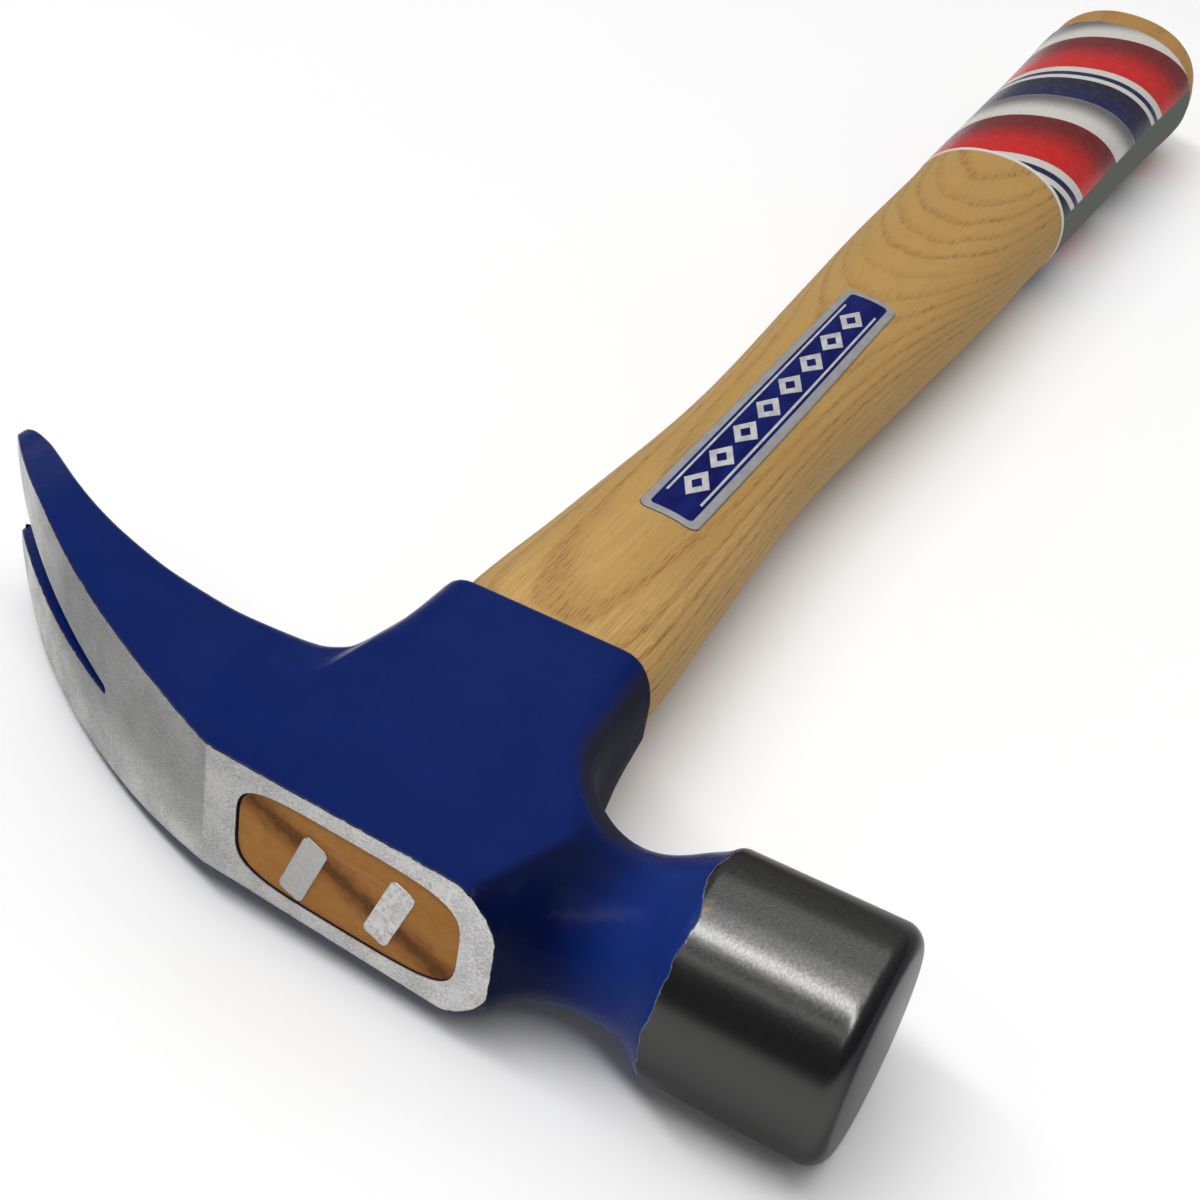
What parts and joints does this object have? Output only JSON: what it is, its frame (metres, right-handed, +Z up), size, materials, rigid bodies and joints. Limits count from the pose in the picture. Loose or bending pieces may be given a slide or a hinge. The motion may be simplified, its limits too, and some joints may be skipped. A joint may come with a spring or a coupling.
{
  "type": "straight claw hammer",
  "caption": "Straight claw hammer: forged steel head with round striking barrel and slotted ground claw, wedged on an oval hickory handle with a foil label and a printed grip sleeve.",
  "frame": {"origin": "middle of the hammer's box, on the surface that it lies on", "axes": "+X from the claw towards the striking face, +Y along the handle from the head to the butt, +Z up with the hammer lying on its cheek"},
  "size_m": [0.1436, 0.3346, 0.0294],
  "materials": {
    "head_enamel": "glossy dark blue enamel over forged steel, ground bright on the top, the claw and the barrel",
    "hickory": "sanded and lacquered hickory",
    "wedge_wood": "dark end grain",
    "wedge_steel": "hammered and ground flush",
    "label_foil": "printed foil with a bright border",
    "sleeve_film": "printed film shrunk on the wood"
  },
  "bodies": {
    "root": {"head": "head_enamel", "handle": "hickory", "wood_wedge": "wedge_wood", "steel_wedge_front": "wedge_steel", "steel_wedge_rear": "wedge_steel", "foil_label": "label_foil", "grip_sleeve": "sleeve_film"}
  },
  "joints": []
}
